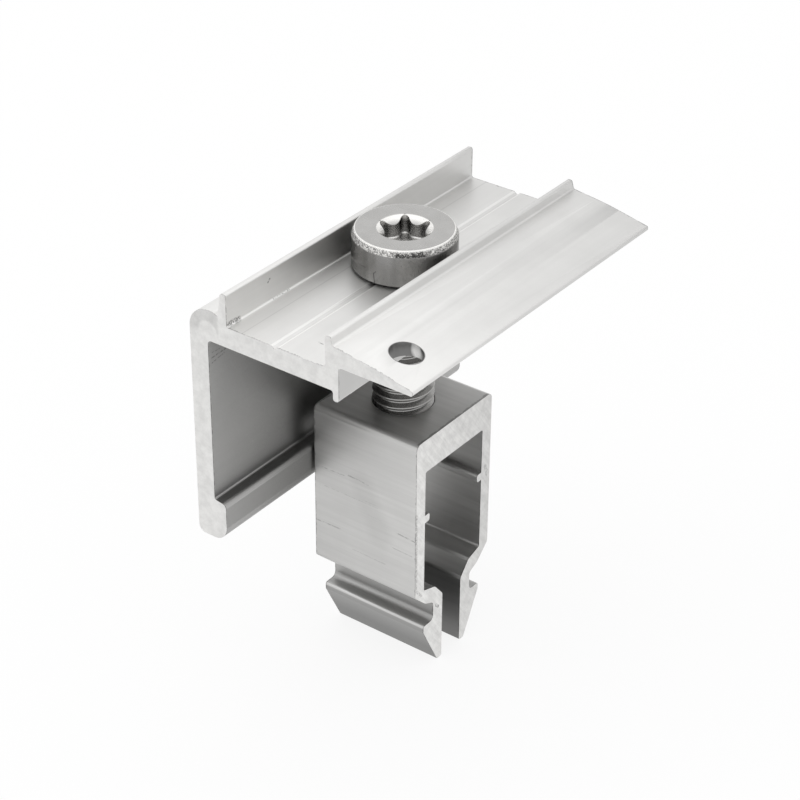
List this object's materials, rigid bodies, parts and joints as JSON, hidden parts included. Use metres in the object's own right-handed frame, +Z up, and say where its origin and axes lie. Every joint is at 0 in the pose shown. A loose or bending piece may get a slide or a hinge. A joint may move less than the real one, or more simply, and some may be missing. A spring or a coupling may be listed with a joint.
{
  "type": "solar end clamp",
  "caption": "End clamp for a solar module: an extruded clamp body that a socket-head screw draws down onto a barbed foot held in a slotted rail.",
  "frame": {"origin": "on the screw's axis, level with the top of the rail that the foot snaps into", "axes": "+X from the clamp's leg towards the module and along the rail, +Y along the module's edge, +Z up along the screw towards its head"},
  "size_m": [0.0321, 0.049, 0.0599],
  "materials": {
    "foot_aluminium": "mill",
    "clamp_aluminium": "mill",
    "screw_steel": "bright"
  },
  "bodies": {
    "foot": {"rail_foot": "foot_aluminium"},
    "clamp": {"clamp_body": "clamp_aluminium"},
    "screw": {"clamp_screw": "screw_steel"}
  },
  "joints": [
    {"name": "clamp_travel", "type": "slide", "parent": "foot", "child": "clamp", "axis": [0, 0, 1], "range_m": [-0.014, 0.004]},
    {"name": "screw_turn", "type": "hinge", "parent": "clamp", "child": "screw", "pos_m": [0, 0, 0.045], "axis": [0, 0, 1], "range_deg": [-4032, 1152]}
  ],
  "couplings": [
    {"joint": "screw_turn", "follows": "clamp_travel", "rad_per_m": 5026.5}
  ]
}
